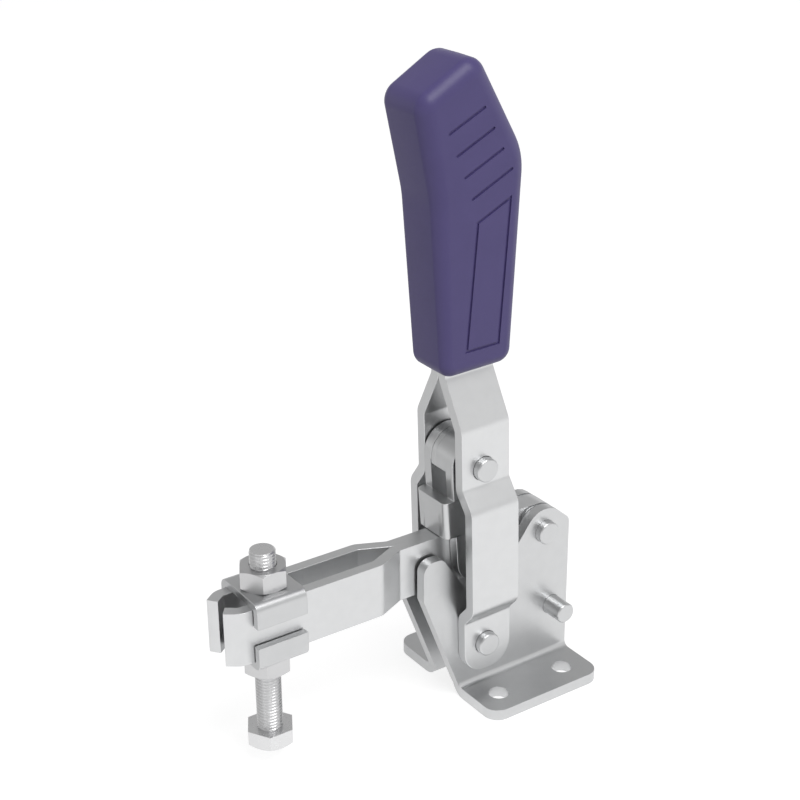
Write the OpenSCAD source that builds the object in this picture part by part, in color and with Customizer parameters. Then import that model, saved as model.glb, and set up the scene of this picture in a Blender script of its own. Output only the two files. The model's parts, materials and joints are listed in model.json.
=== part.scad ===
// Vertical-handle toggle clamp with a slotted two-strip arm and an M8 spindle.
// The arm points to -X and the handle stands up. The origin is the centre of the four mounting
// holes, on the underside of the base flanges. It is drawn locked, with the arm down.

/* [Sheet and rivets] */
// Thickness of the steel plates
sheet_t = 3.7; // [3.3:0.1:4]
// Inside radius of the bends
bend_r = 2; // [1:0.5:3]
// Diameter of the pivot rivets
rivet_d = 7.8; // [7:0.1:8.4]
// How far a rivet end stands out of the outermost plate
rivet_proud = 2.5; // [1.5:0.1:3]
// Chamfer on the rivet ends
rivet_chamfer = 0.4; // [0.2:0.1:0.8]
// Radial clearance of a rivet in its bore
pin_clear = 0.05; // [0.02:0.01:0.08]

/* [Side clearances] */
// Gap between the arm and a base plate
arm_base_gap = 0.85; // [0.6:0.05:1.2]
// Gap between the arm and a link plate
arm_link_gap = 0.15; // [0.1:0.05:0.3]
// Gap between a base plate and the handle's lug
base_lug_gap = 0.05; // [0.03:0.01:0.3]
// Gap between a link plate and the handle's upper plate
link_handle_gap = 0.5; // [0.3:0.05:0.8]

/* [Pivots] */
// Handle pivot, along the arm
handle_pivot_x = -13.99; // [-15:0.01:-13]
// Handle pivot, height
handle_pivot_z = 20.1; // [19:0.1:21.5]
// Arm pivot, along the arm
arm_pivot_x = 12.58; // [11.5:0.01:13.5]
// Arm pivot, height
arm_pivot_z = 50.69; // [49:0.01:52]
// Link's upper pivot on the handle, along the arm
link_pivot_x = -15.57; // [-16.5:0.01:-14.5]
// Link's upper pivot on the handle, height
link_pivot_z = 83.04; // [81:0.01:85]
// Link's lower pivot on the arm, along the arm
toggle_x = -13.1; // [-14:0.1:-12]
// Link's lower pivot on the arm, height
toggle_z = 49.8; // [49:0.1:50.5]

/* [Base] */
// Spacing of the mounting holes along the arm
hole_pitch_x = 26.3; // [24:0.1:28]
// Spacing of the mounting holes across the arm
hole_pitch_y = 36.6; // [35:0.1:39]
// Diameter of the mounting holes
hole_d = 6.7; // [5.5:0.1:7.5]
// Edge of the flange from the hole centres, across the arm
flange_margin = 8.85; // [7:0.05:11]
// Front end of the flange, from the origin
flange_front = 21.7; // [20:0.1:24]
// Rear end of the flange, from the origin
flange_rear = 22.7; // [21:0.1:25]
// Corner radius of the flange
flange_corner_r = 5.1; // [2:0.1:7]
// Height of the rear post's square shoulder
post_shoulder_z = 52.55; // [51:0.05:54]
// Radius of the rear post round the arm pivot
post_lobe_r = 8.1; // [7:0.1:9]
// Lowest corner of the valley between the two posts, along the arm
valley_x = -13; // [-14:0.1:-12]
// Lowest corner of the valley, height before rounding
valley_z = 30.14; // [28:0.01:32]
// Radius in the valley
valley_r = 8; // [5:0.5:9]
// Front of the front post, from the origin
ear_front = 35.6; // [34:0.1:38]
// Width of the front post at its top
ear_w = 7.2; // [6:0.1:8]
// Top of the front post
ear_top_z = 53.5; // [51:0.1:56]
// Height at which the front post's slope starts
ear_slope_z = 40.3; // [38:0.1:43]
// Radius of the rear post's shoulder
shoulder_r = 3; // [2:0.1:4]
// Radius of the front post's top, on its rear side
ear_rear_r = 3.2; // [2:0.1:3.4]
// Radius of the front post's top, on its front side
ear_front_r = 3.8; // [2:0.1:3.9]
// Radius where the front post's slope starts
ear_slope_r = 1; // [0.5:0.1:3]

/* [Stop pin] */
// Stop pin diameter
stop_pin_d = 6.8; // [6:0.1:7.4]
// Stop pin, along the arm
stop_pin_x = 16.24; // [15:0.01:17]
// Stop pin, height
stop_pin_z = 21.92; // [21:0.01:23]
// How far the stop pin stands out of a base plate
stop_pin_proud = 7.8; // [7:0.1:8.5]

/* [Handle straps] */
// Strap edge in front of the line through the pivots
strap_front = 8.2; // [7.5:0.1:9]
// Strap edge behind the line through the pivots
strap_rear = 9.95; // [9:0.05:10.5]
// Strap below the handle pivot
lug_below = 10.15; // [9.5:0.05:11]
// Flat lug above the handle pivot
lug_above = 9.6; // [9:0.1:10.5]
// Outward step of the strap above the lug
joggle_step = 4.58; // [4.2:0.01:5]
// Height of the lower step
low_joggle_run = 5.2; // [4.8:0.1:6.5]
// Height of the upper step
high_joggle_run = 6.6; // [6:0.1:7.5]
// Upper flat below the link pivot
upper_flat_below = 5.6; // [5:0.1:6.5]
// Upper flat above the link pivot
upper_flat_above = 14.2; // [12:0.1:16]
// Height over which the straps close up below the grip
taper_run = 15.2; // [13:0.1:18]
// Length of the straps inside the grip
tang_len = 52; // [35:1:60]

/* [Grip] */
// Half thickness of the grip at its lower end
grip_half_low = 9; // [8.5:0.1:10]
// Half thickness of the grip at its upper front corner
grip_half_high = 10.6; // [10:0.1:12]
// Front of the grip at its lower end, in front of the pivot line
grip_low_front = 12.3; // [11:0.1:13]
// Rear of the grip at its lower end, behind the pivot line
grip_low_rear = 13.5; // [12:0.1:14]
// Height of the front bend of the grip
grip_waist_h = 55.5; // [50:0.1:60]
// Front of the grip at that bend
grip_waist_front = 14.9; // [14:0.1:16]
// Height of the upper front corner
grip_brow_h = 85.8; // [83:0.1:90]
// Front of the grip at that corner
grip_brow_front = 20; // [19:0.1:21]
// Height of the top corner
grip_top_h = 97.2; // [94:0.1:101]
// Top corner, behind the pivot line
grip_top_rear = 1; // [0:0.1:4]
// Height of the rear corner
grip_heel_h = 65.3; // [62:0.1:70]
// Rear of the grip at that corner
grip_heel_rear = 18.2; // [17:0.1:19]
// Corner radius at the grip's lower end, seen from the side
grip_low_r = 4.8; // [4:0.1:6]
// Radius of the front bend
grip_waist_r = 40; // [30:1:60]
// Radius of the upper front corner
grip_brow_r = 6.3; // [5:0.1:8]
// Radius of the top corner
grip_top_r = 6; // [5:0.1:9]
// Radius of the rear corner
grip_heel_r = 22; // [12:1:28]
// Radius on all edges of the grip
grip_round = 3.5; // [2.5:0.1:3.9]
// Height of the closed straps that shows below the grip
grip_lift = 1.8; // [1:0.1:4]
// Number of finger grooves on each side
groove_count = 4; // [2:1:5]
// Height of the top groove's front end
groove_top_h = 75.3; // [73:0.1:77]
// Front end of the top groove, in front of the pivot line
groove_front = 10.3; // [9:0.1:11]
// Height between grooves
groove_pitch = 6.9; // [6:0.1:7]
// How far each groove starts behind the one above it
groove_shift = 2.7; // [2:0.1:3]
// Length of the top groove
groove_len = 14; // [12:0.1:15]
// How much longer each groove is than the one above it
groove_growth = 0.7; // [0:0.1:0.8]
// Angle of the grooves and of the panel's upper edge
groove_angle = 24.4; // [20:0.1:28]
// Width of the moulded grooves
groove_w = 0.9; // [0.6:0.1:1.4]
// Depth of the moulded grooves
groove_depth = 0.5; // [0.3:0.1:0.8]
// Lower edge of the framed panel
panel_low_h = 7.4; // [6:0.1:12]
// Upper rear corner of the framed panel
panel_high_h = 53.6; // [45:0.1:54]
// Width of the framed panel
panel_w = 12.7; // [10:0.1:13]
// Rear edge of the framed panel at its lower end, behind the pivot line
panel_low_rear = 8.2; // [7:0.1:9]
// Rear edge of the framed panel at its upper corner, behind the pivot line
panel_high_rear = 12.1; // [11:0.1:12.5]
// Clearance of the grip round the straps
tang_clear = 0.05; // [0.02:0.01:0.1]

/* [Link] */
// End radius of the link plates
link_r = 8.96; // [8.5:0.01:9.2]
// Radius of the filler between the link plates
spacer_r = 8.8; // [8:0.1:9]
// Lower edge of the filler, below the link pivot
spacer_below = 2.24; // [1:0.01:4]
// Wall of the filler round the rivet
spacer_wall = 1.8; // [1:0.1:2.5]
// Thickness of the thin filler
shim_t = 2.15; // [1.5:0.05:3]
// Front of the bridge between the link plates, from the line through the link's pivots
bridge_front = 12.7; // [12:0.1:14]
// Upper edge of the bridge, above the link's lower pivot
bridge_high = 23.1; // [18:0.1:25]
// Underside of the bridge between the plates, above the link's lower pivot
bridge_arch = 20.6; // [20.6:0.1:21.5]
// Height of the bridge's sides over the top of the arm
bridge_gap = 0.2; // [0.15:0.05:0.5]
// Radius on the bridge's outer corners
bridge_round = 1.7; // [1:0.1:3]

/* [Arm] */
// Radius of the arm round its pivot
arm_hub_r = 8.15; // [7.8:0.05:8.6]
// Height of the arm strips
arm_h = 17.85; // [16.5:0.05:18.5]
// Where the lower edge starts to rise to the hub
arm_neck_x = -6; // [-10:0.5:0]
// Where the strips start to spread
spread_start_x = -41.5; // [-44:0.1:-39]
// Length over which the strips spread
spread_run = 9.5; // [8:0.1:12]
// Clearance of the spindle in the arm's slot, on each side
slot_clear = 0.34; // [0.2:0.01:0.6]
// Straight strip in front of the spindle's axis
arm_front = 12.5; // [11:0.1:14]
// Length of the bent lip at the tip
lip_len = 5.15; // [4:0.05:6]
// Angle of the bent lip
lip_angle = 37; // [25:1:40]
// Inside radius of the lip's bend
lip_bend_r = 2; // [1:0.5:3]

/* [Spindle] */
// Position of the spindle along the arm
spindle_x = -87.78; // [-89:0.01:-85]
// Spindle thread diameter
spindle_d = 8; // [7:0.1:8.4]
// Spindle length under the head
spindle_len = 61.3; // [56:0.1:65]
// Height of the bolt head's upper side
spindle_head_z = 11.4; // [10:0.1:16]
// Thickness of the bolt head
head_h = 5.3; // [4.5:0.1:6]
// Width across flats of the head and the nuts
hex_af = 13; // [12.5:0.1:14]
// Thickness of the nuts
nut_h = 6.5; // [5:0.1:7]
// Radial clearance of the nuts on the spindle
thread_clear = 0.05; // [0.02:0.01:0.08]

/* [Flanged washers] */
// Thickness of the flanged washers
washer_t = 2.45; // [2:0.05:2.8]
// Length of the flanged washers along the arm
washer_len = 17; // [16:0.1:19]
// Height of their flanges, over the web
washer_flange_h = 8.2; // [7:0.1:8.6]
// Gap between a flange and the arm
washer_gap = 0.35; // [0.2:0.05:0.6]
// Radial clearance of their hole
washer_hole_clear = 0.25; // [0.15:0.05:0.5]

/* [Inner parts] */
// Side play left at the arm pivot washers
pivot_washer_play = 0.05; // [0.03:0.01:0.1]
// Outside diameter of the arm pivot washers
pivot_washer_d = 15; // [13:0.1:16]
// Outside diameter of the base spacer
base_spacer_d = 13; // [11:0.1:15]

/* [Hidden] */
$fn = 96;
steel = [0.80, 0.81, 0.82];
grip_blue = [0.27, 0.24, 0.47];
arc_steps = 6;
far = 400;
// How far a cut or a cutting outline runs past the face it opens
past = 1;
// Angle at which the corners of a hexagon are turned down
corner_angle = 30;

// Pivots in the XZ plane
handle_pivot = [handle_pivot_x, handle_pivot_z];
arm_pivot = [arm_pivot_x, arm_pivot_z];
link_pivot = [link_pivot_x, link_pivot_z];
toggle_pivot = [toggle_x, toggle_z];
stop_pin_at = [stop_pin_x, stop_pin_z];
bore_r = rivet_d / 2 + pin_clear;

// Layers across the clamp, from the middle plane outward
base_in = sheet_t + arm_base_gap;
base_out = base_in + sheet_t;
lug_out = base_out + base_lug_gap + sheet_t;
link_in = sheet_t + arm_link_gap;
link_out = link_in + sheet_t;
handle_out = link_out + link_handle_gap + sheet_t;
mid_out = lug_out + joggle_step;
flange_out = hole_pitch_y / 2 + flange_margin;

// Handle frame: origin on the handle pivot, third axis through the link pivot
handle_tilt = atan2(handle_pivot_x - link_pivot_x, link_pivot_z - handle_pivot_z);
link_pivot_h = norm(link_pivot - handle_pivot);
closed_h = link_pivot_h + upper_flat_above + taper_run;
grip_base_h = closed_h + grip_lift;

// Link frame: origin on the lower pivot, third axis through the upper one
link_tilt = atan2(toggle_x - link_pivot_x, link_pivot_z - toggle_z);
link_len = norm(link_pivot - toggle_pivot);

// Arm and spindle
arm_top = arm_pivot_z + arm_hub_r;
arm_bottom = arm_top - arm_h;
slot_half = spindle_d / 2 + slot_clear;
arm_out = slot_half + sheet_t;
washer_out = arm_out + washer_gap + washer_t;
upper_nut_z = arm_top + washer_t;
lower_nut_z = arm_bottom - washer_t - nut_h;
hex_d = hex_af / cos(30);

function unit(v) = v / norm(v);
function left_of(v) = [-v[1], v[0]];
function xy(p) = [p[0], p[1]];
function arc(centre, r, from, to) = [
    for (k = [0 : arc_steps])
        let (a = from + (to - from) * k / arc_steps)
        centre + r * [cos(a), sin(a)]
];
function short_turn(a) = a > 180 ? a - 360 : (a < -180 ? a + 360 : a);
function rounded_corner(before, corner, after) =
    corner[2] == 0 ? [xy(corner)] :
    let (
        u = unit(xy(before) - xy(corner)),
        v = unit(xy(after) - xy(corner)),
        half = acos(u * v) / 2,
        centre = xy(corner) + unit(u + v) * corner[2] / sin(half),
        start = xy(corner) + u * corner[2] / tan(half) - centre,
        stop = xy(corner) + v * corner[2] / tan(half) - centre,
        from = atan2(start[1], start[0]),
        turn = short_turn(atan2(stop[1], stop[0]) - from)
    )
    arc(centre, corner[2], from, from + turn);
// Outline through corners given as [x, y, radius]
function rounded(c) = [
    for (i = [0 : len(c) - 1])
        each rounded_corner(c[(i + len(c) - 1) % len(c)], c[i], c[(i + 1) % len(c)])
];
// Corners of the outline that lies at distance d inside such an outline
function inward(c, d) = [
    for (i = [0 : len(c) - 1])
        let (
            here = xy(c[i]),
            a = left_of(unit(here - xy(c[(i + len(c) - 1) % len(c)]))),
            b = left_of(unit(xy(c[(i + 1) % len(c)]) - here)),
            p = here + d * (a + b) / (1 + a * b)
        )
        [p[0], p[1], c[i][2] - d * sign(left_of(a) * b)]
];
// Where a line from p touches a circle, on the side given by +1 or -1
function touch(p, centre, r, side) =
    let (
        d = p - centre,
        a = atan2(d[1], d[0]) + side * acos(r / norm(d))
    )
    centre + r * [cos(a), sin(a)];
function direction(p, i) = unit(p[i + 1] - p[i]);
function offset_point(p, i, t) =
    i == 0 ? p[0] + t * left_of(direction(p, 0)) :
    i == len(p) - 1 ? p[i] + t * left_of(direction(p, i - 1)) :
    let (
        a = left_of(direction(p, i - 1)),
        b = left_of(direction(p, i))
    )
    p[i] + t * (a + b) / (1 + a * b);
function turns_left(p, i) =
    i > 0 && i < len(p) - 1 && left_of(direction(p, i - 1)) * direction(p, i) > 0;
function is_end(p, i) = i == 0 || i == len(p) - 1;
// Outline of a sheet of thickness t that follows path p on its left side, bent with inside radius r
function bent_sheet(p, t, r) =
    let (
        near = [
            for (i = [0 : len(p) - 1])
                [p[i][0], p[i][1], is_end(p, i) ? 0 : (turns_left(p, i) ? r + t : r)]
        ],
        away = [
            for (i = [len(p) - 1 : -1 : 0])
                let (q = offset_point(p, i, t))
                [q[0], q[1], is_end(p, i) ? 0 : (turns_left(p, i) ? r : r + t)]
        ]
    )
    rounded(concat(near, away));

// Extrudes an XZ outline from y0 to y1
module along_y(y0, y1) {
    translate([0, y1, 0]) rotate([90, 0, 0]) linear_extrude(y1 - y0) children();
}
// Extrudes a YZ outline from x0 to x1
module along_x(x0, x1) {
    translate([x0, 0, 0]) rotate([90, 0, 90]) linear_extrude(x1 - x0) children();
}
module bore_y(at, r) {
    translate([at[0], far / 2, at[1]]) rotate([90, 0, 0]) cylinder(h = far, r = r);
}
module near_side() {
    mirror([0, 1, 0]) children();
}
module both_sides() {
    children();
    mirror([0, 1, 0]) children();
}
module on_handle() {
    translate([handle_pivot_x, 0, handle_pivot_z]) rotate([0, -handle_tilt, 0]) children();
}
// Pin along Y with chamfered ends
module rivet(at, d, half) {
    translate([at[0], 0, at[1]]) rotate([90, 0, 0]) rotate_extrude()
        polygon([
            [0, -half],
            [d / 2 - rivet_chamfer, -half],
            [d / 2, -half + rivet_chamfer],
            [d / 2, half - rivet_chamfer],
            [d / 2 - rivet_chamfer, half],
            [0, half]
        ]);
}
module ring_y(at, r_out, r_in, y0, y1) {
    along_y(y0, y1) translate(at) difference() {
        circle(r = r_out);
        circle(r = r_in);
    }
}

// Side view of a base plate: rear post, valley for the link, and front post
module base_side() {
    shoulder = [flange_rear, post_shoulder_z];
    valley = [valley_x, valley_z];
    rear_touch = touch(shoulder, arm_pivot, post_lobe_r, 1) - arm_pivot;
    valley_touch = touch(valley, arm_pivot, post_lobe_r, -1) - arm_pivot;
    rear_angle = atan2(rear_touch[1], rear_touch[0]);
    valley_angle = atan2(valley_touch[1], valley_touch[0]);
    lobe = [for (q = arc(arm_pivot, post_lobe_r, rear_angle, valley_angle)) [q[0], q[1], 0]];
    polygon(rounded(concat(
        [[-flange_front, 0, 0], [flange_rear, 0, 0], [flange_rear, post_shoulder_z, shoulder_r]],
        lobe,
        [
            [valley_x, valley_z, valley_r],
            [ear_w - ear_front, ear_top_z, ear_rear_r],
            [-ear_front, ear_top_z, ear_front_r],
            [-ear_front, ear_slope_z, ear_slope_r],
            [-flange_front, sheet_t, 0]
        ]
    )));
}
module base_plate() {
    color(steel) difference() {
        intersection() {
            along_x(-ear_front - past, flange_rear + past)
                polygon(bent_sheet([[base_in, far / 2], [base_in, 0], [flange_out, 0]], sheet_t, bend_r));
            along_y(0, flange_out) base_side();
            union() {
                translate([-far / 2, 0, 0]) cube([far, base_out, far]);
                linear_extrude(far)
                    polygon(rounded([
                        [-flange_front, 0, 0],
                        [flange_rear, 0, 0],
                        [flange_rear, flange_out, flange_corner_r],
                        [-flange_front, flange_out, flange_corner_r]
                    ]));
            }
        }
        for (x = [-hole_pitch_x / 2, hole_pitch_x / 2])
            translate([x, hole_pitch_y / 2, -past]) cylinder(h = sheet_t + 2 * past, d = hole_d);
        bore_y(arm_pivot, bore_r);
        bore_y(handle_pivot, bore_r);
        bore_y(stop_pin_at, stop_pin_d / 2 + pin_clear);
    }
}
module base_plate_right() {
    near_side() base_plate();
}
module base_plate_left() {
    base_plate();
}

// Joggled strap: lug, outward step, flat, inward step, upper flat, closing taper, tang
module handle_strap() {
    end_flat = 0.2;
    corner_r = min(strap_front, strap_rear, lug_below) - end_flat / 2;
    low_joggle_top = lug_above + low_joggle_run;
    upper_flat = link_pivot_h - upper_flat_below;
    taper_start = link_pivot_h + upper_flat_above;
    path = [
        [lug_out, -lug_below],
        [lug_out, lug_above],
        [mid_out, low_joggle_top],
        [mid_out, upper_flat - high_joggle_run],
        [handle_out, upper_flat],
        [handle_out, taper_start],
        [sheet_t, closed_h],
        [sheet_t, closed_h + tang_len]
    ];
    color(steel) on_handle() difference() {
        intersection() {
            along_x(-strap_front, strap_rear) polygon(bent_sheet(path, sheet_t, bend_r));
            along_y(0, mid_out + past)
                polygon(rounded([
                    [-strap_front, -lug_below, corner_r],
                    [strap_rear, -lug_below, corner_r],
                    [strap_rear, closed_h + tang_len, 0],
                    [-strap_front, closed_h + tang_len, 0]
                ]));
        }
        bore_y([0, 0], bore_r);
        bore_y([0, link_pivot_h], bore_r);
    }
}
module handle_plate_right() {
    near_side() handle_strap();
}
module handle_plate_left() {
    handle_strap();
}

// Grip: a leaf-shaped side outline and a thickness that grows upward, rounded all over
grip_corners = [
    [-grip_low_front, 0, grip_low_r],
    [grip_low_rear, 0, grip_low_r],
    [grip_heel_rear, grip_heel_h, grip_heel_r],
    [grip_top_rear, grip_top_h, grip_top_r],
    [-grip_brow_front, grip_brow_h, grip_brow_r],
    [-grip_waist_front, grip_waist_h, grip_waist_r]
];
function grip_half_at(h) = grip_half_low + (grip_half_high - grip_half_low) * h / grip_brow_h;
// Outline round the near or far edge of the grip, at angle a of the edge's rounding
function grip_ring(a, side) = [
    for (q = rounded(inward(grip_corners, grip_round * (1 - cos(a)))))
        [q[0], side * (grip_half_at(q[1]) - grip_round * (1 - sin(a))), q[1]]
];
module grip_body() {
    rings = concat(
        [for (k = [0 : arc_steps]) grip_ring(90 - 90 * k / arc_steps, -1)],
        [for (k = [0 : arc_steps]) grip_ring(90 * k / arc_steps, 1)]
    );
    count = len(rings[0]);
    last = len(rings) - 1;
    polyhedron(
        points = [for (ring = rings) each ring],
        faces = concat(
            [[for (j = [count - 1 : -1 : 0]) j]],
            [[for (j = [0 : count - 1]) last * count + j]],
            [
                for (k = [0 : last - 1], j = [0 : count - 1])
                    let (here = k * count, next = (j + 1) % count)
                    each [
                        [here + j, here + next, here + count + next],
                        [here + j, here + count + next, here + count + j]
                    ]
            ]
        )
    );
}
// Places a flat drawing of the grip's side face on the far face, cutting inward from it
module on_grip_face() {
    lean = atan((grip_half_high - grip_half_low) / grip_brow_h);
    translate([0, grip_half_low, 0]) rotate([90 - lean, 0, 0])
        translate([0, 0, -past]) linear_extrude(past + groove_depth) children();
}
module grip_marks() {
    for (k = [0 : groove_count - 1])
        translate([groove_shift * k - groove_front, groove_top_h - groove_pitch * k])
            rotate(groove_angle) square([groove_len + groove_growth * k, groove_w]);
    difference() {
        panel_outline();
        offset(delta = -groove_w) panel_outline();
    }
}
module panel_outline() {
    low_rear = [panel_low_rear, panel_low_h];
    high_rear = [panel_high_rear, panel_high_h];
    polygon([
        low_rear,
        high_rear,
        high_rear - panel_w * [1, tan(groove_angle)],
        low_rear - [panel_w, 0]
    ]);
}
module grip() {
    color(grip_blue) on_handle() difference() {
        translate([0, 0, grip_base_h]) difference() {
            grip_body();
            both_sides() on_grip_face() grip_marks();
        }
        translate([-strap_front - tang_clear, -sheet_t - tang_clear, closed_h])
            cube([
                strap_front + strap_rear + 2 * tang_clear,
                2 * (sheet_t + tang_clear),
                tang_len + tang_clear
            ]);
    }
}

// Link: two plates folded from one sheet, joined in front by a bridge over the arm
module link_side() {
    translate(link_pivot) circle(r = link_r);
    translate(toggle_pivot) circle(r = link_r);
    translate(toggle_pivot) rotate(90 + link_tilt)
        translate([0, -link_r]) square([link_len, 2 * link_r]);
}
module link_bridge() {
    low = (arm_top + bridge_gap - toggle_z + bridge_front * sin(link_tilt)) / cos(link_tilt);
    inner = sheet_t - bridge_front;
    translate([toggle_x, 0, toggle_z]) rotate([0, -link_tilt, 0]) difference() {
        translate([0, 0, low]) linear_extrude(bridge_high - low)
            polygon(rounded([
                [-bridge_front, -link_out, bridge_round],
                [0, -link_out, 0],
                [0, -link_in, 0],
                [inner, -link_in, 0],
                [inner, link_in, 0],
                [0, link_in, 0],
                [0, link_out, 0],
                [-bridge_front, link_out, bridge_round]
            ]));
        translate([-bridge_front - past, -link_in, 0])
            cube([bridge_front + past, 2 * link_in, bridge_arch]);
    }
}
module link_channel() {
    color(steel) difference() {
        union() {
            both_sides() along_y(link_in, link_out) link_side();
            link_bridge();
        }
        bore_y(link_pivot, bore_r);
        bore_y(toggle_pivot, bore_r);
    }
}

// Filler between the link plates: round above, flat below, with a boss round the rivet
module filler(y0, y1) {
    color(steel) along_y(y0, y1) translate(link_pivot) difference() {
        union() {
            intersection() {
                circle(r = spacer_r);
                translate([-far / 2, -spacer_below]) square([far, far]);
            }
            circle(r = bore_r + spacer_wall);
        }
        circle(r = bore_r);
    }
}
module link_spacer() {
    filler(-link_in, link_in - shim_t);
}
module link_shim() {
    filler(link_in - shim_t, link_in);
}

// Arm strip: flat at the hub, spread round the spindle, with a bent lip at the tip
module arm_strip() {
    neck = [arm_neck_x, arm_bottom];
    hub_touch = touch(neck, arm_pivot, arm_hub_r, 1);
    straight_end = spindle_x - arm_front;
    path = [
        [arm_pivot_x + arm_hub_r, sheet_t],
        [spread_start_x, sheet_t],
        [spread_start_x - spread_run, arm_out],
        [straight_end, arm_out],
        [straight_end - lip_len * cos(lip_angle), arm_out - lip_len * sin(lip_angle)]
    ];
    color(steel) difference() {
        intersection() {
            translate([0, 0, arm_bottom]) linear_extrude(arm_h)
                polygon(bent_sheet(path, sheet_t, lip_bend_r));
            along_y(0, far / 2) union() {
                translate(arm_pivot) circle(r = arm_hub_r);
                polygon([
                    [-far / 2, arm_bottom],
                    neck,
                    hub_touch,
                    arm_pivot,
                    [arm_pivot_x, arm_top],
                    [-far / 2, arm_top]
                ]);
            }
        }
        bore_y(arm_pivot, bore_r);
        bore_y(toggle_pivot, bore_r);
    }
}
module arm_strip_right() {
    near_side() arm_strip();
}
module arm_strip_left() {
    arm_strip();
}

// Washer folded down over both sides of the arm, drawn with its web at z 0
module flanged_washer() {
    color(steel) difference() {
        along_x(spindle_x - washer_len / 2, spindle_x + washer_len / 2)
            polygon(bent_sheet(
                [
                    [washer_out, washer_t - washer_flange_h],
                    [washer_out, washer_t],
                    [-washer_out, washer_t],
                    [-washer_out, washer_t - washer_flange_h]
                ],
                washer_t, washer_gap
            ));
        translate([spindle_x, 0, -past])
            cylinder(h = washer_t + 2 * past, r = spindle_d / 2 + washer_hole_clear);
    }
}
module upper_flanged_washer() {
    translate([0, 0, arm_top]) flanged_washer();
}
module lower_flanged_washer() {
    translate([0, 0, arm_bottom]) mirror([0, 0, 1]) flanged_washer();
}

// Hexagon with its corners turned down at the lower end, and at the upper end for a nut
module hexagon(h, both_ends) {
    reach = hex_d / 2 + past;
    slope = (reach - hex_af / 2) * tan(corner_angle);
    intersection() {
        cylinder(h = h, d = hex_d, $fn = 6);
        rotate_extrude()
            polygon([
                [0, 0],
                [hex_af / 2, 0],
                [reach, slope],
                [reach, h - (both_ends ? slope : 0)],
                [both_ends ? hex_af / 2 : reach, h],
                [0, h]
            ]);
    }
}
module nut() {
    color(steel) difference() {
        hexagon(nut_h, true);
        translate([0, 0, -past]) cylinder(h = nut_h + 2 * past, r = spindle_d / 2 + thread_clear);
    }
}
module upper_nut() {
    translate([spindle_x, 0, upper_nut_z]) nut();
}
module lower_nut() {
    translate([spindle_x, 0, lower_nut_z]) nut();
}
module spindle_bolt() {
    end_chamfer = 0.8;
    color(steel) translate([spindle_x, 0, spindle_head_z]) {
        translate([0, 0, -head_h]) hexagon(head_h, false);
        rotate_extrude()
            polygon([
                [0, -head_h / 2],
                [spindle_d / 2, -head_h / 2],
                [spindle_d / 2, spindle_len - end_chamfer],
                [spindle_d / 2 - end_chamfer, spindle_len],
                [0, spindle_len]
            ]);
    }
}

module arm_pivot_rivet() {
    color(steel) rivet(arm_pivot, rivet_d, base_out + rivet_proud);
}
module handle_pivot_rivet() {
    color(steel) rivet(handle_pivot, rivet_d, lug_out + rivet_proud);
}
module handle_link_rivet() {
    color(steel) rivet(link_pivot, rivet_d, handle_out + rivet_proud);
}
module toggle_rivet() {
    color(steel) both_sides() ring_y(toggle_pivot, rivet_d / 2, 0, link_in, link_out);
}
module toggle_rivet_core() {
    color(steel) along_y(-sheet_t, sheet_t) translate(toggle_pivot) circle(d = rivet_d);
}
module stop_pin() {
    color(steel) rivet(stop_pin_at, stop_pin_d, base_out + stop_pin_proud);
}
module arm_pivot_washers() {
    color(steel) both_sides()
        ring_y(
            arm_pivot, pivot_washer_d / 2, bore_r,
            sheet_t + pivot_washer_play, base_in - pivot_washer_play
        );
}
module base_spacer() {
    color(steel) ring_y(handle_pivot, base_spacer_d / 2, bore_r, -base_in, base_in);
}

base_plate_right();
base_plate_left();
handle_plate_right();
handle_plate_left();
grip();
link_channel();
link_spacer();
link_shim();
arm_strip_right();
arm_strip_left();
upper_flanged_washer();
lower_flanged_washer();
upper_nut();
lower_nut();
spindle_bolt();
arm_pivot_rivet();
handle_pivot_rivet();
handle_link_rivet();
toggle_rivet();
toggle_rivet_core();
stop_pin();
arm_pivot_washers();
base_spacer();
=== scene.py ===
"""Looks of a toggle clamp: bevelled sheet parts, a threaded spindle and a moulded grip.

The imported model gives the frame, in metres: the arm points to -X, the near side is -Y, Z is up.
"""

import json
import math

import bmesh
import bpy
from mathutils import Matrix, Vector


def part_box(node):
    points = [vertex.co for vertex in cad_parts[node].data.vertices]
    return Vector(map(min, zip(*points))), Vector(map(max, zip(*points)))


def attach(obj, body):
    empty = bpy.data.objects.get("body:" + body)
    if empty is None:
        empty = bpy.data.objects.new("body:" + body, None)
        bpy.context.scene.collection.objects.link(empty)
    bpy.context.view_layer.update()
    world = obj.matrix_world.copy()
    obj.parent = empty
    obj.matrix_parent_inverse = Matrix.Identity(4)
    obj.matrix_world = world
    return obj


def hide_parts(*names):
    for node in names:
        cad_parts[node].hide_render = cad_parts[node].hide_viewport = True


MM = 0.001

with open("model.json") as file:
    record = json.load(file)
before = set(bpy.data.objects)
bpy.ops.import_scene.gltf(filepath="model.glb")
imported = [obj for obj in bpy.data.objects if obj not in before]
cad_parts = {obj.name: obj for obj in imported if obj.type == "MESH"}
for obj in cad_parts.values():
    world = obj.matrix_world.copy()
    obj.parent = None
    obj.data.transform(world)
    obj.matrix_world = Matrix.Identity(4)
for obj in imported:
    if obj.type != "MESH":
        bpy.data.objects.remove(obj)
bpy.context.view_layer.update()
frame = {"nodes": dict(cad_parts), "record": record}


# Camera: the photograph's own viewpoint, fitted to the clamp's edges and holes
AZIMUTH = math.radians(55.727)
DOWN = math.radians(24.221)
ROLL = math.radians(-0.456)
CAMERA_AT = Vector((-293.281, -373.899, 311.221)) * MM
FOCAL_PX = 1658.05
FRAME_PX = 800
SENSOR_MM = 36
CLIP_START = 0.01


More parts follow.
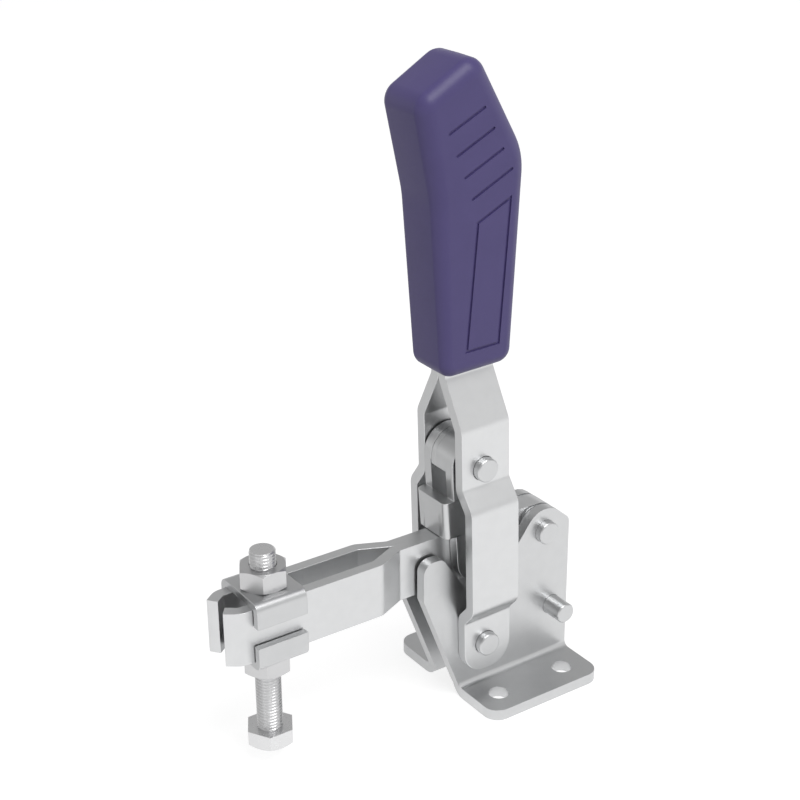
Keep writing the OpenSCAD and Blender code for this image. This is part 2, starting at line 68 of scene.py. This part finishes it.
def make_camera():
    level = Vector((math.cos(AZIMUTH), math.sin(AZIMUTH), 0))
    flat_right = Vector((math.sin(AZIMUTH), -math.cos(AZIMUTH), 0))
    forward = math.cos(DOWN) * level - math.sin(DOWN) * Vector((0, 0, 1))
    flat_up = flat_right.cross(forward)
    right = math.cos(ROLL) * flat_right + math.sin(ROLL) * flat_up
    up = math.cos(ROLL) * flat_up - math.sin(ROLL) * flat_right
    data = bpy.data.cameras.new("photo_camera")
    data.sensor_width = SENSOR_MM
    data.lens = FOCAL_PX / FRAME_PX * SENSOR_MM
    data.clip_start = CLIP_START
    camera = bpy.data.objects.new("photo_camera", data)
    turn = Matrix((right, up, -forward)).transposed().to_4x4()
    camera.matrix_world = Matrix.Translation(CAMERA_AT) @ turn
    bpy.context.collection.objects.link(camera)
    bpy.context.scene.camera = camera


make_camera()


# Material building: noise scales are in cycles per metre
CLOUDS = 260
SATIN = 900
GRAIN = 5200
CLOUD_CONTRAST = 0.015
STEEL_GRAIN_STRENGTH = 0.2
PLASTIC_IOR = 1.46
PLASTIC_CLOUDS = 120
PLASTIC_SATIN = 700
PLASTIC_GRAIN = 3600
PLASTIC_ROUGH = (0.37, 0.41)
PLASTIC_GRAIN_DEPTH = 0.04 * MM
PLASTIC_GRAIN_STRENGTH = 0.25
NOISE_MIDDLE = (0.3, 0.7)
TONE_STOPS = (0.32, 0.68)


def new_material(name):
    material = bpy.data.materials.new(name)
    material.use_nodes = True
    tree = material.node_tree
    return material, tree, tree.nodes["Principled BSDF"]


def stretched_position(tree, stretch):
    """Object position with the grain drawn out along one axis."""
    place = tree.nodes.new("ShaderNodeTexCoord")
    mapping = tree.nodes.new("ShaderNodeMapping")
    mapping.inputs["Scale"].default_value = stretch
    tree.links.new(place.outputs["Object"], mapping.inputs["Vector"])
    return mapping.outputs["Vector"]


def noise(tree, position, per_metre, detail):
    node = tree.nodes.new("ShaderNodeTexNoise")
    node.inputs["Scale"].default_value = per_metre
    node.inputs["Detail"].default_value = detail
    tree.links.new(position, node.inputs["Vector"])
    return node.outputs["Fac"]


def spread(tree, value, low, high):
    """Maps the middle of a noise to a range."""
    node = tree.nodes.new("ShaderNodeMapRange")
    node.inputs["From Min"].default_value = NOISE_MIDDLE[0]
    node.inputs["From Max"].default_value = NOISE_MIDDLE[1]
    node.inputs["To Min"].default_value = low
    node.inputs["To Max"].default_value = high
    tree.links.new(value, node.inputs["Value"])
    return node.outputs["Result"]


def two_tones(tree, value, dark, light):
    node = tree.nodes.new("ShaderNodeValToRGB")
    stops = zip(node.color_ramp.elements, TONE_STOPS, (dark, light))
    for element, position, tone in stops:
        element.position = position
        element.color = (*tone, 1)
    tree.links.new(value, node.inputs["Fac"])
    return node.outputs["Color"]


def bump(tree, height, depth, strength):
    node = tree.nodes.new("ShaderNodeBump")
    node.inputs["Strength"].default_value = strength
    node.inputs["Distance"].default_value = depth
    tree.links.new(height, node.inputs["Height"])
    return node.outputs["Normal"]


def steel(name, stretch, tone, rough_low, rough_high, grain_depth):
    """Plated sheet: a faint cloudiness, a varying satin and a fine grain along the rolling."""
    material, tree, shader = new_material(name)
    shader.inputs["Metallic"].default_value = 1
    even = stretched_position(tree, (1, 1, 1))
    rolled = stretched_position(tree, stretch)
    clouds = noise(tree, even, CLOUDS, 5)
    satin = noise(tree, rolled, SATIN, 4)
    grain = noise(tree, rolled, GRAIN, 3)
    dark = [(1 - CLOUD_CONTRAST) * level for level in tone]
    light = [(1 + CLOUD_CONTRAST) * level for level in tone]
    tree.links.new(two_tones(tree, clouds, dark, light), shader.inputs["Base Color"])
    tree.links.new(spread(tree, satin, rough_low, rough_high), shader.inputs["Roughness"])
    relief = bump(tree, grain, grain_depth, STEEL_GRAIN_STRENGTH)
    tree.links.new(relief, shader.inputs["Normal"])
    return material


def moulded_plastic(name, dark, light):
    """Matte moulded grip: an even colour with a very fine spark-eroded grain."""
    material, tree, shader = new_material(name)
    shader.inputs["IOR"].default_value = PLASTIC_IOR
    even = stretched_position(tree, (1, 1, 1))
    clouds = noise(tree, even, PLASTIC_CLOUDS, 3)
    satin = noise(tree, even, PLASTIC_SATIN, 3)
    grain = noise(tree, even, PLASTIC_GRAIN, 4)
    tree.links.new(two_tones(tree, clouds, dark, light), shader.inputs["Base Color"])
    tree.links.new(spread(tree, satin, *PLASTIC_ROUGH), shader.inputs["Roughness"])
    relief = bump(tree, grain, PLASTIC_GRAIN_DEPTH, PLASTIC_GRAIN_STRENGTH)
    tree.links.new(relief, shader.inputs["Normal"])
    return material


ALONG_X = (0.12, 1, 1)
ALONG_Z = (1, 1, 0.12)
NO_GRAIN = (1, 1, 1)
FINE = 0.012 * MM
FAINT = 0.005 * MM
SHEET_TONE = (0.68, 0.685, 0.69)
# Painted shade: the base plates, link, washers and pins get darker copies of the sheet's zinc tone,
# standing in for the shade they sit in
SHADED_BASE_TONE = (0.61, 0.615, 0.62)
SHADED_SMALL_TONE = (0.6, 0.605, 0.61)
NUT_TONE = (0.62, 0.62, 0.625)
THREAD_TONE = (0.75, 0.75, 0.755)
GRIP_DARK = (0.078, 0.061, 0.193)
GRIP_LIGHT = (0.083, 0.065, 0.203)
zinc_arm = steel("zinc_rolled_along_arm", ALONG_X, SHEET_TONE, 0.32, 0.36, FINE)
zinc_strap = steel("zinc_rolled_strap", ALONG_Z, SHEET_TONE, 0.32, 0.36, FINE)
zinc_base_painted_shade = steel("zinc_rolled_base", ALONG_Z, SHADED_BASE_TONE, 0.32, 0.36, FINE)
zinc_washer_painted_shade = steel("zinc_pressed_washer", ALONG_X, SHADED_SMALL_TONE, 0.32, 0.36, FINE)
zinc_pin_painted_shade = steel("zinc_turned_pin", NO_GRAIN, SHADED_SMALL_TONE, 0.3, 0.34, FAINT)
nut_steel = steel("nut_steel", NO_GRAIN, NUT_TONE, 0.28, 0.31, FAINT)
thread_steel = steel("thread_steel", NO_GRAIN, THREAD_TONE, 0.27, 0.29, 0)
grip_plastic = moulded_plastic("grip_matte_plastic", GRIP_DARK, GRIP_LIGHT)


# Mesh building
WELD = 0.001 * MM
SLIVER = 0.002 * MM
FLAT_WITHIN_DEG = 0.5
ROUNDED_OVER_DEG = 40
SHEET_SHARP_DEG = 50
HEXAGON_SHARP_DEG = 30
THREAD_SHARP_DEG = 24
GRIP_SHARP_DEG = 32


def link_piece(name, mesh, material):
    piece = bpy.data.objects.new(name, mesh)
    piece.data.materials.clear()
    piece.data.materials.append(material)
    bpy.context.collection.objects.link(piece)
    return piece


def apply_modifiers(piece):
    bpy.context.view_layer.update()
    graph = bpy.context.evaluated_depsgraph_get()
    mesh = bpy.data.meshes.new_from_object(piece.evaluated_get(graph))
    piece.modifiers.clear()
    piece.data = mesh


def finish_shading(piece, sharp_deg):
    """Smooth shading with flat faces kept flat."""
    piece.data.shade_smooth()
    piece.data.set_sharp_from_angle(angle=math.radians(sharp_deg))
    weighted = piece.modifiers.new("even_normals", "WEIGHTED_NORMAL")
    weighted.keep_sharp = True
    apply_modifiers(piece)


def in_middle_plane(edge):
    return all(abs(vert.co.y) < WELD for vert in edge.verts)


def bevel(piece, width, left_sharp, clamped=True):
    """Rounds every edge over the limit angle, except those that left_sharp picks out."""
    shape = bmesh.new()
    shape.from_mesh(piece.data)
    weights = shape.edges.layers.float.new("bevel_weight_edge")
    for edge in shape.edges:
        turned = edge.is_manifold and edge.calc_face_angle() > math.radians(ROUNDED_OVER_DEG)
        edge[weights] = 1 if turned and not left_sharp(edge) else 0
    shape.to_mesh(piece.data)
    shape.free()
    edges = piece.modifiers.new("edge_rounding", "BEVEL")
    edges.width = width
    edges.segments = 2
    edges.limit_method = "WEIGHT"
    edges.miter_outer = "MITER_ARC"
    edges.use_clamp_overlap = clamped
    apply_modifiers(piece)


def box_between(shape, low, high):
    bmesh.ops.create_cube(shape, size=1)
    for vert in shape.verts:
        for axis in range(3):
            vert.co[axis] = high[axis] if vert.co[axis] > 0 else low[axis]


def mesh_object(name, build, place, material):
    shape = bmesh.new()
    build(shape)
    bmesh.ops.recalc_face_normals(shape, faces=shape.faces)
    mesh = bpy.data.meshes.new(name)
    shape.to_mesh(mesh)
    shape.free()
    mesh.transform(place)
    return link_piece(name, mesh, material)


def cut_away(piece, tool):
    cut = piece.modifiers.new("cut", "BOOLEAN")
    cut.operation = "DIFFERENCE"
    cut.solver = "EXACT"
    cut.use_self = True
    cut.object = tool
    apply_modifiers(piece)
    bpy.data.objects.remove(tool)


def body_of_node(node):
    for body, nodes in frame["record"]["behaviour"]["bodies"].items():
        if node in nodes:
            return body
    raise ValueError(node)


def settle(piece, node):
    """The piece moves with the node's body and stands for the node."""
    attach(piece, body_of_node(node))
    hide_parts(node)


def merged_copy(node, material, flat_within=FLAT_WITHIN_DEG):
    """A copy of a model part as one closed mesh, without the triangles inside its flat faces."""
    shape = bmesh.new()
    shape.from_mesh(frame["nodes"][node].data)
    bmesh.ops.remove_doubles(shape, verts=shape.verts, dist=WELD)
    limit = math.radians(flat_within)
    bmesh.ops.dissolve_limit(shape, angle_limit=limit, verts=shape.verts, edges=shape.edges)
    mesh = bpy.data.meshes.new(node + "_edged")
    shape.to_mesh(mesh)
    shape.free()
    return link_piece(node + "_edged", mesh, material)


def edged_copy(node, width, material):
    """A metal part of the model with its edges broken, as deburred sheet has them."""
    piece = merged_copy(node, material)
    bevel(piece, width, in_middle_plane)
    finish_shading(piece, SHEET_SHARP_DEG)
    settle(piece, node)


SHEET_EDGE = 0.28 * MM
WASHER_EDGE = 0.2 * MM
PIN_EDGE = 0.12 * MM
for node in ("base_plate_right", "base_plate_left"):
    edged_copy(node, SHEET_EDGE, zinc_base_painted_shade)
for node in ("handle_plate_right", "handle_plate_left"):
    edged_copy(node, SHEET_EDGE, zinc_strap)
for node in ("link_spacer", "link_shim"):
    edged_copy(node, WASHER_EDGE, zinc_base_painted_shade)
for node in ("arm_strip_right", "arm_strip_left"):
    edged_copy(node, SHEET_EDGE, zinc_arm)
for node in ("upper_flanged_washer", "lower_flanged_washer"):
    edged_copy(node, WASHER_EDGE, zinc_washer_painted_shade)
for node in (
    "arm_pivot_rivet",
    "handle_pivot_rivet",
    "handle_link_rivet",
    "toggle_rivet",
    "toggle_rivet_core",
    "stop_pin",
    "arm_pivot_washers",
    "base_spacer",
):
    edged_copy(node, PIN_EDGE, zinc_pin_painted_shade)


# Link: the bridge's web comes down to the arm, as the photograph shows it at rest
LINK_PIVOT = Vector((-15.57, 0, 83.04)) * MM
TOGGLE_PIVOT = Vector((-13.1, 0, 49.8)) * MM
WEB_BACK = -9 * MM
WEB_FRONT = -12.7 * MM
WEB_HALF = 3.85 * MM
WEB_LOW = 10.22 * MM
WEB_HIGH = 20.8 * MM
WEB_SET_IN = 0.005 * MM
WEB_INSIDE = 0.5 * MM
LINK_FLAT_WITHIN_DEG = 0.02


def link_place():
    """From the link's own frame, upright on its lower pivot, to the model."""
    axis = (LINK_PIVOT - TOGGLE_PIVOT).normalized()
    across = Vector((axis.z, 0, -axis.x))
    turn = Matrix((across, Vector((0, 1, 0)), axis)).transposed().to_4x4()
    return Matrix.Translation(TOGGLE_PIVOT) @ turn


def at_arch(edge):
    """An edge of the cut under the bridge, which the web's lower part fills."""
    to_link = link_place().inverted()
    places = [to_link @ vert.co for vert in edge.verts]
    return all(
        abs(place.y) < WEB_HALF + WEB_SET_IN
        and place.x < WEB_BACK + WEB_SET_IN
        and place.z < WEB_HIGH
        for place in places
    )


def web_filling(shape):
    """The lower part of the web, a hair behind the bridge's faces."""
    low = (WEB_FRONT + WEB_SET_IN, -WEB_HALF - WEB_INSIDE, WEB_LOW)
    high = (WEB_BACK - WEB_SET_IN, WEB_HALF + WEB_INSIDE, WEB_HIGH)
    box_between(shape, low, high)


def add_mesh(piece, extra):
    """Joins another object's mesh to the piece and clears the slivers of its bevel."""
    shape = bmesh.new()
    shape.from_mesh(piece.data)
    bmesh.ops.dissolve_degenerate(shape, dist=SLIVER, edges=shape.edges)
    shape.from_mesh(extra.data)
    shape.to_mesh(piece.data)
    shape.free()
    bpy.data.objects.remove(extra)


folded_link = merged_copy("link_channel", zinc_base_painted_shade, LINK_FLAT_WITHIN_DEG)
bevel(folded_link, WASHER_EDGE, at_arch, clamped=False)
add_mesh(folded_link, mesh_object("web", web_filling, link_place(), zinc_base_painted_shade))
finish_shading(folded_link, SHEET_SHARP_DEG)
settle(folded_link, "link_channel")


# Hexagons and the thread
HEX_AF = 13.6 * MM
NUT_H = 6.5 * MM
HEAD_H = 5.3 * MM
THREAD_R = 4 * MM
THREAD_PITCH = 1.08 * MM
THREAD_DEPTH = 0.64 * MM
SPINDLE_END_CHAMFER = 0.3 * MM
COUNTERSINK = 0.2 * MM
HEX_STEPS = 96
HEX_CHAMFER_DEG = 30
HEX_CHAMFER_LEAST = 0.01 * MM
NUT_PLAY = 0.05 * MM
SHAFT_IN_HEAD = 0.5 * MM
THREAD_CREST = 0.14
THREAD_ROOT = 0.16
THREAD_AROUND = 48
THREAD_PER_PITCH = 12


def hex_radius(turn, af):
    """Distance from the axis to a hexagon's side, with a corner at no turn."""
    within = (turn + math.pi / 6) % (math.pi / 3) - math.pi / 6
    return af / 2 / math.cos(math.pi / 6 - abs(within))


def ring_verts(shape, centre_x, radius_at, height_at, steps):
    verts = []
    for step in range(steps):
        turn = 2 * math.pi * step / steps
        radius = radius_at(turn)
        place = (centre_x + radius * math.cos(turn), radius * math.sin(turn), height_at(turn))
        verts.append(shape.verts.new(place))
    return verts


def bridge(shape, lower, upper):
    count = len(lower)
    for step in range(count):
        after = (step + 1) % count
        shape.faces.new((lower[step], lower[after], upper[after], upper[step]))


def hexagon_part(shape, centre_x, low, high, chamfer_high, bore):
    """Hexagon with its corners turned down below, and above too for a nut; bore is 0 for a head."""

    def flat(radius):
        return lambda turn: radius

    def side(turn):
        return hex_radius(turn, HEX_AF)

    def cut(turn):
        return (side(turn) - HEX_AF / 2) * math.tan(math.radians(HEX_CHAMFER_DEG))

    rings = []
    if bore:
        rings.append((flat(bore), flat(low + COUNTERSINK)))
        rings.append((flat(bore + COUNTERSINK), flat(low)))
    rings.append((flat(HEX_AF / 2), flat(low)))
    rings.append((side, lambda turn: low + cut(turn) + HEX_CHAMFER_LEAST))
    if chamfer_high:
        rings.append((side, lambda turn: high - cut(turn) - HEX_CHAMFER_LEAST))
        rings.append((flat(HEX_AF / 2), flat(high)))
    else:
        rings.append((side, flat(high)))
    if bore:
        rings.append((flat(bore + COUNTERSINK), flat(high)))
        rings.append((flat(bore), flat(high - COUNTERSINK)))
    made = [ring_verts(shape, centre_x, radius, height, HEX_STEPS) for radius, height in rings]
    for lower, upper in zip(made, made[1:]):
        bridge(shape, lower, upper)
    if bore:
        bridge(shape, made[-1], made[0])
    else:
        shape.faces.new(list(reversed(made[0])))
        shape.faces.new(made[-1])


def thread_radius(phase):
    """Profile of the thread over one pitch: flat crest, flank, flat root, flank."""
    away = abs(((phase + 0.5) % 1) - 0.5) * 2
    if away < THREAD_CREST:
        return THREAD_R
    if away > 1 - THREAD_ROOT:
        return THREAD_R - THREAD_DEPTH
    share = (away - THREAD_CREST) / (1 - THREAD_ROOT - THREAD_CREST)
    return THREAD_R - THREAD_DEPTH * share


def threaded_shaft(shape, centre_x, low, high):
    """Right-hand thread as one grid wound round the axis, ending in a turned chamfer."""
    rows = int((high - low) / THREAD_PITCH * THREAD_PER_PITCH)
    rings = []
    for row in range(rows + 1):
        height = low + (high - low) * row / rows
        end_limit = THREAD_R - max(0, height - (high - SPINDLE_END_CHAMFER))
        ring = []
        for step in range(THREAD_AROUND):
            turn = 2 * math.pi * step / THREAD_AROUND
            phase = height / THREAD_PITCH - step / THREAD_AROUND
            radius = min(thread_radius(phase), end_limit)
            place = (centre_x + radius * math.cos(turn), radius * math.sin(turn), height)
            ring.append(shape.verts.new(place))
        rings.append(ring)
    for lower, upper in zip(rings, rings[1:]):
        bridge(shape, lower, upper)
    shape.faces.new(list(reversed(rings[0])))
    shape.faces.new(rings[-1])


def turned_piece(name, node, build, sharp_deg, material):
    piece = mesh_object(name, build, Matrix.Identity(4), material)
    finish_shading(piece, sharp_deg)
    settle(piece, node)


def axis_and_ends(node):
    """The X of a node's middle, and the Z of its two ends."""
    low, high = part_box(node)
    return (low[0] + high[0]) / 2, low[2], high[2]


spindle_x, spindle_low, spindle_high = axis_and_ends("spindle_bolt")
head_top = spindle_low + HEAD_H


def nut_builder(low):
    def build(shape):
        hexagon_part(shape, spindle_x, low, low + NUT_H, True, THREAD_R + NUT_PLAY)

    return build


def build_spindle(shape):
    hexagon_part(shape, spindle_x, spindle_low, head_top, False, 0)
    threaded_shaft(shape, spindle_x, head_top - SHAFT_IN_HEAD, spindle_high)


for node in ("upper_nut", "lower_nut"):
    build_nut = nut_builder(axis_and_ends(node)[1])
    turned_piece(node + "_finished", node, build_nut, HEXAGON_SHARP_DEG, nut_steel)
turned_piece("threaded_spindle", "spindle_bolt", build_spindle, THREAD_SHARP_DEG, thread_steel)


# Moulded grip, in its own plane: across the straps, height above its base, thickness
HANDLE_PIVOT = Vector((-13.99, 0, 20.1)) * MM
GRIP_BASE = 94.16 * MM
GRIP_ROUND_LOW = 3.5 * MM
GRIP_ROUND_HIGH = 5.4 * MM
ROUND_GROWS_FROM = 20 * MM
ROUND_GROWS_TO = 70 * MM
GRIP_HALF_LOW = 9 * MM
GRIP_HALF_HIGH = 11.1 * MM
GRIP_BROW_H = 85.8 * MM
# Each corner: across, height and radius, in millimetres
GRIP_CORNERS = (
    (-12.3, 0, 4.8),
    (13.5, 0, 4.8),
    (18.5, 65.3, 22),
    (1.1, 97.6, 6),
    (-20.4, 86, 6.3),
    (-14.9, 55.5, 40),
)
ARC_STEPS = 10
ROUND_STEPS = 8


def rounded_outline(corners):
    """Points and inward directions along an outline with rounded corners, anticlockwise."""
    outline = []
    count = len(corners)
    for index in range(count):
        before = Vector(corners[index - 1][:2])
        corner = Vector(corners[index][:2])
        after = Vector(corners[(index + 1) % count][:2])
        radius = corners[index][2]
        to_before = (before - corner).normalized()
        to_after = (after - corner).normalized()
        half = to_before.angle(to_after) / 2
        hollow = (corner - before).cross(after - corner) < 0
        centre = corner + (to_before + to_after).normalized() * radius / math.sin(half)
        start = corner + to_before * radius / math.tan(half) - centre
        stop = corner + to_after * radius / math.tan(half) - centre
        for step in range(ARC_STEPS + 1):
            spoke = start.slerp(stop, step / ARC_STEPS).normalized() * radius
            inward = spoke.normalized() if hollow else -spoke.normalized()
            outline.append(((centre + spoke) * MM, inward))
    return outline


def grip_half_at(height):
    return GRIP_HALF_LOW + (GRIP_HALF_HIGH - GRIP_HALF_LOW) * height / GRIP_BROW_H


def grip_round_at(height):
    """Radius on the grip's edges, softer toward the top."""
    share = (height - ROUND_GROWS_FROM) / (ROUND_GROWS_TO - ROUND_GROWS_FROM)
    share = min(max(share, 0), 1)
    return GRIP_ROUND_LOW + (GRIP_ROUND_HIGH - GRIP_ROUND_LOW) * share


def handle_place():
    """From the grip's plane to the model: base on the handle's axis, which leans a little."""
    axis = (LINK_PIVOT - HANDLE_PIVOT).normalized()
    across = Vector((axis.z, 0, -axis.x))
    turn = Matrix((across, Vector((0, 1, 0)), axis)).transposed().to_4x4()
    return Matrix.Translation(HANDLE_PIVOT + axis * GRIP_BASE) @ turn


def grip_body(shape):
    outline = rounded_outline(GRIP_CORNERS)
    rings = []
    for step in range(-ROUND_STEPS, ROUND_STEPS + 1):
        swing = math.pi / 2 * step / ROUND_STEPS
        ring = []
        for point, inward in outline:
            radius = grip_round_at(point.y)
            inset = point + inward * radius * (1 - math.cos(swing))
            side = grip_half_at(inset.y) - radius
            thick = math.copysign(side, step) + radius * math.sin(swing) if step else 0
            ring.append(shape.verts.new((inset.x, thick, inset.y)))
        rings.append(ring)
    for lower, upper in zip(rings, rings[1:]):
        bridge(shape, lower, upper)
    shape.faces.new(list(reversed(rings[0])))
    shape.faces.new(rings[-1])


GROOVE_ANGLE = math.radians(24.4)
GROOVE_W = 0.9 * MM
GROOVE_DEPTH = 0.5 * MM
GROOVE_FLARE = 0.25 * MM
GROOVE_END_STEPS = 6
CUT_PAST = 1 * MM
# Each groove: its lower end across and up, and its length, in millimetres
GROOVES = [(-10.3 + 2.7 * k, 75.3 - 6.9 * k, 14 + 0.7 * k) for k in range(4)]
PANEL_LOW_H = 7.4
PANEL_HIGH_H = 53.6
PANEL_W = 12.7
PANEL_LOW_REAR = 8.2
PANEL_HIGH_REAR = 12.1
TANG_LOW = (-8.25 * MM, -3.75 * MM, -1.85 * MM)
TANG_HIGH = (10 * MM, 3.75 * MM, 50.25 * MM)


def panel_corners():
    low_rear = Vector((PANEL_LOW_REAR, PANEL_LOW_H))
    high_rear = Vector((PANEL_HIGH_REAR, PANEL_HIGH_H))
    high_front = high_rear - PANEL_W * Vector((1, math.tan(GROOVE_ANGLE)))
    low_front = low_rear - Vector((PANEL_W, 0))
    return [low_rear * MM, high_rear * MM, high_front * MM, low_front * MM]


def inset_corners(corners, width):
    """The same outline, drawn in by width."""
    made = []
    count = len(corners)
    for index in range(count):
        corner = corners[index]
        to_before = (corners[index - 1] - corner).normalized()
        to_after = (corners[(index + 1) % count] - corner).normalized()
        half = to_before.angle(to_after) / 2
        made.append(corner + (to_before + to_after).normalized() * width / math.sin(half))
    return made


def cut_prism(shape, corners, side):
    """Closed prism that reaches from the groove's floor to outside the grip, flaring outward."""
    floor = []
    mouth = []
    middle_point = sum(corners, Vector((0, 0))) / len(corners)
    for corner in corners:
        depth = grip_half_at(corner.y)
        wide = corner + (corner - middle_point).normalized() * GROOVE_FLARE
        floor.append(shape.verts.new((corner.x, side * (depth - GROOVE_DEPTH), corner.y)))
        mouth.append(shape.verts.new((wide.x, side * (depth + CUT_PAST), wide.y)))
    bridge(shape, floor, mouth)
    shape.faces.new(list(reversed(floor)))
    shape.faces.new(mouth)


def groove_corners(start_x, start_h, length):
    """A groove with round ends, as a ring of corners."""
    along = Vector((math.cos(GROOVE_ANGLE), math.sin(GROOVE_ANGLE)))
    over = Vector((-along.y, along.x))
    radius = GROOVE_W / 2
    start = Vector((start_x, start_h)) * MM + over * radius
    first = start + along * radius
    last = start + along * (length * MM - radius)
    corners = []
    for centre, sign in ((last, 1), (first, -1)):
        for step in range(GROOVE_END_STEPS + 1):
            swing = -math.pi / 2 + math.pi * step / GROOVE_END_STEPS
            spoke = sign * (along * math.cos(swing) + over * math.sin(swing))
            corners.append(centre + spoke * radius)
    return corners


def grip_cuts(shape):
    outer = panel_corners()
    inner = inset_corners(outer, GROOVE_W)
    for side in (-1, 1):
        for start_x, start_h, length in GROOVES:
            cut_prism(shape, groove_corners(start_x, start_h, length), side)
        for index in range(len(outer)):
            after = (index + 1) % len(outer)
            cut_prism(shape, [outer[index], outer[after], inner[after], inner[index]], side)


def tang_cut(shape):
    """The slot that the two straps reach into."""
    box_between(shape, TANG_LOW, TANG_HIGH)


moulded_grip = mesh_object("moulded_grip", grip_body, handle_place(), grip_plastic)
cut_away(moulded_grip, mesh_object("marks", grip_cuts, handle_place(), grip_plastic))
cut_away(moulded_grip, mesh_object("tang", tang_cut, handle_place(), grip_plastic))
finish_shading(moulded_grip, GRIP_SHARP_DEG)
settle(moulded_grip, "grip")


# Floor, world and lamps
FLOOR_HALF = 6
FLOOR_DROP = 0.1 * MM
FLOOR_GREY = 0.42
FLOOR_GLOW = 0.76
# Painted shade in reflections: the floor's glow that metal sees fades behind the clamp
MIRRORED_NEAR = (-0.02, 1)
MIRRORED_FAR = (0.06, 0.5)
WORLD_STOPS = ((0.0, 1.0), (0.12, 0.8), (0.4, 0.47), (1.0, 0.5))


def math_node(tree, operation, first, second):
    """A node that works out one value from a socket and a second socket or number."""
    node = tree.nodes.new("ShaderNodeMath")
    node.operation = operation
    tree.links.new(first, node.inputs[0])
    if isinstance(second, (int, float)):
        node.inputs[1].default_value = second
    else:
        tree.links.new(second, node.inputs[1])
    return node.outputs["Value"]


def painted_reflection_shade(tree):
    """Painted shade in reflections: how bright metal sees the floor, less behind the clamp than in
    front.
    """
    place = tree.nodes.new("ShaderNodeTexCoord")
    parts = tree.nodes.new("ShaderNodeSeparateXYZ")
    tree.links.new(place.outputs["Object"], parts.inputs["Vector"])
    behind = tree.nodes.new("ShaderNodeMapRange")
    behind.inputs["From Min"].default_value = MIRRORED_NEAR[0]
    behind.inputs["From Max"].default_value = MIRRORED_FAR[0]
    behind.inputs["To Min"].default_value = MIRRORED_NEAR[1]
    behind.inputs["To Max"].default_value = MIRRORED_FAR[1]
    tree.links.new(parts.outputs["Y"], behind.inputs["Value"])
    return behind.outputs["Result"]


def make_floor():
    """A white floor that keeps the clamp's shadow, because only a part of its white is glow."""
    mesh = bpy.data.meshes.new("studio_floor")
    corners = ((-1, -1), (1, -1), (1, 1), (-1, 1))
    verts = [(FLOOR_HALF * x, FLOOR_HALF * y, -FLOOR_DROP) for x, y in corners]
    mesh.from_pydata(verts, [], [(0, 1, 2, 3)])
    material, tree, shader = new_material("studio_floor")
    shader.inputs["Base Color"].default_value = (FLOOR_GREY, FLOOR_GREY, FLOOR_GREY, 1)
    shader.inputs["Roughness"].default_value = 1
    shader.inputs["Specular IOR Level"].default_value = 0
    shader.inputs["Emission Color"].default_value = (1, 1, 1, 1)
    rays = tree.nodes.new("ShaderNodeLightPath").outputs
    mirrored = math_node(tree, "MULTIPLY", rays["Is Glossy Ray"], painted_reflection_shade(tree))
    seen = math_node(tree, "MAXIMUM", rays["Is Camera Ray"], mirrored)
    seen_through = math_node(tree, "MAXIMUM", seen, rays["Is Transmission Ray"])
    glow = math_node(tree, "MULTIPLY", seen_through, FLOOR_GLOW)
    tree.links.new(glow, shader.inputs["Emission Strength"])
    link_piece("studio_floor", mesh, material)


def make_world():
    """A pale studio: white at the horizon, greyer overhead."""
    world = bpy.data.worlds.new("studio")
    world.use_nodes = True
    bpy.context.scene.world = world
    tree = world.node_tree
    background = tree.nodes["Background"]
    background.inputs["Strength"].default_value = 1
    place = tree.nodes.new("ShaderNodeTexCoord")
    parts = tree.nodes.new("ShaderNodeSeparateXYZ")
    tree.links.new(place.outputs["Generated"], parts.inputs["Vector"])
    ramp = tree.nodes.new("ShaderNodeValToRGB")
    elements = ramp.color_ramp.elements
    while len(elements) < len(WORLD_STOPS):
        elements.new(0.5)
    for element, (at, level) in zip(elements, WORLD_STOPS):
        element.position = at
        element.color = (level, level, level, 1)
    tree.links.new(parts.outputs["Z"], ramp.inputs["Fac"])
    tree.links.new(ramp.outputs["Color"], background.inputs["Color"])


def area_lamp(name, at, aim, size, power):
    data = bpy.data.lights.new(name, "AREA")
    data.shape = "DISK"
    data.size = size
    data.energy = power
    lamp = bpy.data.objects.new(name, data)
    at = Vector(at)
    facing = (Vector(aim) - at).to_track_quat("-Z", "Y")
    lamp.matrix_world = Matrix.Translation(at) @ facing.to_matrix().to_4x4()
    bpy.context.collection.objects.link(lamp)


make_floor()
make_world()
CLAMP_MIDDLE = (-0.02, 0, 0.09)
area_lamp("key_light", (-0.04, -0.6, 1.12), CLAMP_MIDDLE, 0.8, 6.5)
area_lamp("right_softbox", (0.87, -1.18, 0.93), CLAMP_MIDDLE, 1.2, 1.3)

bpy.context.scene.view_settings.view_transform = "Standard"
